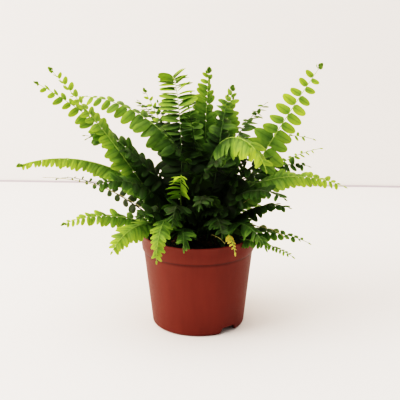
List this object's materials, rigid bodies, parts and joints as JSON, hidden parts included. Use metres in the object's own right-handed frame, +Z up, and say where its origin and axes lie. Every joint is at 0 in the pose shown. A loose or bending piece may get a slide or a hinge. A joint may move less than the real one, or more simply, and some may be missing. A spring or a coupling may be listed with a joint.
{
  "type": "potted fern",
  "caption": "Small Boston fern with arching leafy fronds, growing from crowns in peat in a round brick-red plastic nursery pot with a raised collar and a notched foot.",
  "frame": {"origin": "centre of the pot's base, on the surface that it stands on", "axes": "+Z up, -Y towards the front of the plant, +X to its right"},
  "size_m": [0.3291, 0.2376, 0.2744],
  "materials": {
    "pot": "moulded brick-red polypropylene, soft sheen",
    "peat": "dark moist peat with fibres",
    "crown": "old leaf bases and brown scales",
    "leaf": "thin green frond, faint sheen, yellower at the tip",
    "young_leaf": "fresh yellow-green frond",
    "old_leaf": "yellowed frond",
    "runner": "thin straw-coloured runner"
  },
  "bodies": {
    "root": {"crown_back": "crown", "crown_left": "crown", "crown_right": "crown", "frond_back_fan": "leaf", "frond_back_left": "leaf", "frond_back_low_left": "leaf", "frond_back_low_middle": "leaf", "frond_back_low_right": "leaf", "frond_back_middle": "leaf", "frond_back_right": "leaf", "frond_back_tall_right": "leaf", "frond_back_thin": "leaf", "frond_back_twin": "leaf", "frond_back_upright": "leaf", "frond_front_inner_left": "leaf", "frond_front_inner_right": "leaf", "frond_front_large": "leaf", "frond_front_left": "leaf", "frond_front_low_left": "leaf", "frond_front_low_right": "leaf", "frond_front_middle": "leaf", "frond_front_old": "old_leaf", "frond_front_right": "leaf", "frond_front_right_tall": "leaf", "frond_front_rim": "leaf", "frond_front_short_left": "leaf", "frond_front_short_right": "leaf", "frond_front_steep": "leaf", "frond_front_young": "young_leaf", "frond_left_arched": "leaf", "frond_left_fan": "leaf", "frond_left_high": "leaf", "frond_left_inner": "leaf", "frond_left_level": "leaf", "frond_left_low": "leaf", "frond_left_middle": "leaf", "frond_left_rim": "leaf", "frond_left_thin": "leaf", "frond_middle_back": "leaf", "frond_middle_front": "leaf", "frond_middle_left": "leaf", "frond_middle_right": "leaf", "frond_middle_short_back": "leaf", "frond_middle_short_left": "leaf", "frond_middle_short_right": "leaf", "frond_middle_steep": "leaf", "frond_right_back": "leaf", "frond_right_back_low": "leaf", "frond_right_far": "leaf", "frond_right_level": "leaf", "frond_right_low": "leaf", "frond_right_middle": "leaf", "frond_right_rim": "leaf", "frond_right_upright": "leaf", "pot": "pot", "runner_front": "runner", "runner_left": "runner", "runner_right": "runner", "runner_right_low": "runner", "soil": "peat"}
  },
  "joints": []
}
